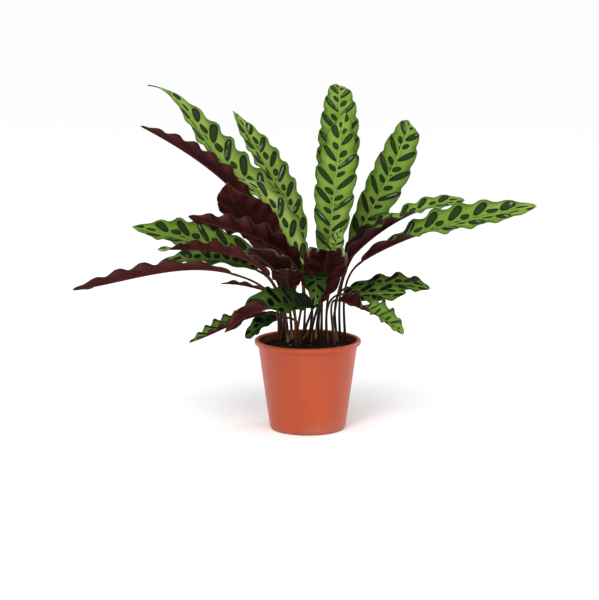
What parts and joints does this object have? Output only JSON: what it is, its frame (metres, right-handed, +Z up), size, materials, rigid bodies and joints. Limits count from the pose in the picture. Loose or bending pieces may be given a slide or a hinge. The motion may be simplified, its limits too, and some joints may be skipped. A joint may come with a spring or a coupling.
{
  "type": "rattlesnake plant",
  "caption": "Prayer plant with long waved leaves, dark ovals on light green above and maroon below, on thin stems in a round nursery pot",
  "frame": {"origin": "centre of the flat disc in the middle of the pot's underside, which is the point that stands on the ground", "axes": "+Z is up along the pot's axis; +X runs along the plant's longest spread, to the right in the front view; -Y faces the viewer, who sees most leaves' patterned side there"},
  "size_m": [0.5062, 0.2714, 0.3815],
  "materials": {
    "pot_plastic": "satin",
    "potting_soil": "rough",
    "leaf_blade": "satin",
    "leaf_stem": "satin"
  },
  "bodies": {
    "root": {"pot": "pot_plastic", "soil": "potting_soil", "leaf_tall_back": "leaf_blade", "stem_tall_back": "leaf_stem", "leaf_tall_front": "leaf_blade", "stem_tall_front": "leaf_stem", "leaf_right_tall": "leaf_blade", "stem_right_tall": "leaf_stem", "leaf_left_long": "leaf_blade", "stem_left_long": "leaf_stem", "leaf_left_second": "leaf_blade", "stem_left_second": "leaf_stem", "leaf_left_high_purple": "leaf_blade", "stem_left_high_purple": "leaf_stem", "leaf_left_broad_purple": "leaf_blade", "stem_left_broad_purple": "leaf_stem", "leaf_left_inner": "leaf_blade", "stem_left_inner": "leaf_stem", "leaf_left_mid_purple": "leaf_blade", "stem_left_mid_purple": "leaf_stem", "leaf_left_green": "leaf_blade", "stem_left_green": "leaf_stem", "leaf_left_low_purple": "leaf_blade", "stem_left_low_purple": "leaf_stem", "leaf_left_longest": "leaf_blade", "stem_left_longest": "leaf_stem", "leaf_left_grey": "leaf_blade", "stem_left_grey": "leaf_stem", "leaf_left_small": "leaf_blade", "stem_left_small": "leaf_stem", "leaf_front_green": "leaf_blade", "stem_front_green": "leaf_stem", "leaf_left_low": "leaf_blade", "stem_left_low": "leaf_stem", "leaf_left_back_low": "leaf_blade", "stem_left_back_low": "leaf_stem", "leaf_front_hanging": "leaf_blade", "stem_front_hanging": "leaf_stem", "leaf_front_left_purple": "leaf_blade", "stem_front_left_purple": "leaf_stem", "leaf_right_low_front": "leaf_blade", "stem_right_low_front": "leaf_stem", "leaf_right_low_back": "leaf_blade", "stem_right_low_back": "leaf_stem", "leaf_right_droop": "leaf_blade", "stem_right_droop": "leaf_stem", "leaf_right_long": "leaf_blade", "stem_right_long": "leaf_stem", "leaf_right_second": "leaf_blade", "stem_right_second": "leaf_stem", "leaf_centre_purple": "leaf_blade", "stem_centre_purple": "leaf_stem", "leaf_right_wide": "leaf_blade", "stem_right_wide": "leaf_stem", "leaf_left_purple_inner": "leaf_blade", "stem_left_purple_inner": "leaf_stem", "leaf_back_left": "leaf_blade", "stem_back_left": "leaf_stem", "leaf_centre_small": "leaf_blade", "stem_centre_small": "leaf_stem"}
  },
  "joints": []
}
